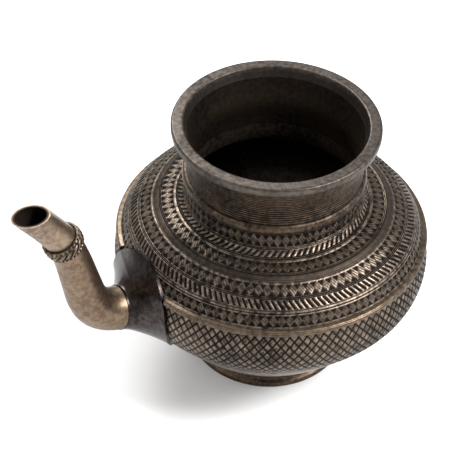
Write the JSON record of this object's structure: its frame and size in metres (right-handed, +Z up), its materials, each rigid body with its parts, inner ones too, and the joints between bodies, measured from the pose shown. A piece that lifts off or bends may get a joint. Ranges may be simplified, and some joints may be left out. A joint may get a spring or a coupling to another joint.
{
  "type": "spouted water pot",
  "caption": "Squat round engraved bronze water pot with a wide neck, flared rim, foot ring and a curved pouring spout.",
  "frame": {"origin": "centre of the foot's flat underside, on the axis of the turned body", "axes": "+Z up along the axis of the turned body; the spout points along -X"},
  "size_m": [0.2265, 0.165, 0.148],
  "materials": {
    "engraved_bronze": "dark patinated bronze with worn highlights",
    "dark_bronze": "smooth dark patinated bronze",
    "worn_brass": "rubbed yellow-brown brass with dark pits",
    "ridge_brass": "rubbed brass ridge"
  },
  "bodies": {
    "root": {"lower_bowl": "engraved_bronze", "shoulder_shell": "engraved_bronze", "belly_ridge_ring": "ridge_brass", "neck_base_bead": "engraved_bronze", "neck_tube": "engraved_bronze", "rim_ring": "engraved_bronze", "foot_ring": "engraved_bronze", "base_disc": "engraved_bronze", "spout_flange": "dark_bronze", "spout_tube": "worn_brass", "spout_mouthpiece": "worn_brass", "collar_lower_wire": "engraved_bronze", "collar_leaf_band": "engraved_bronze", "collar_upper_wire": "engraved_bronze"}
  },
  "joints": []
}
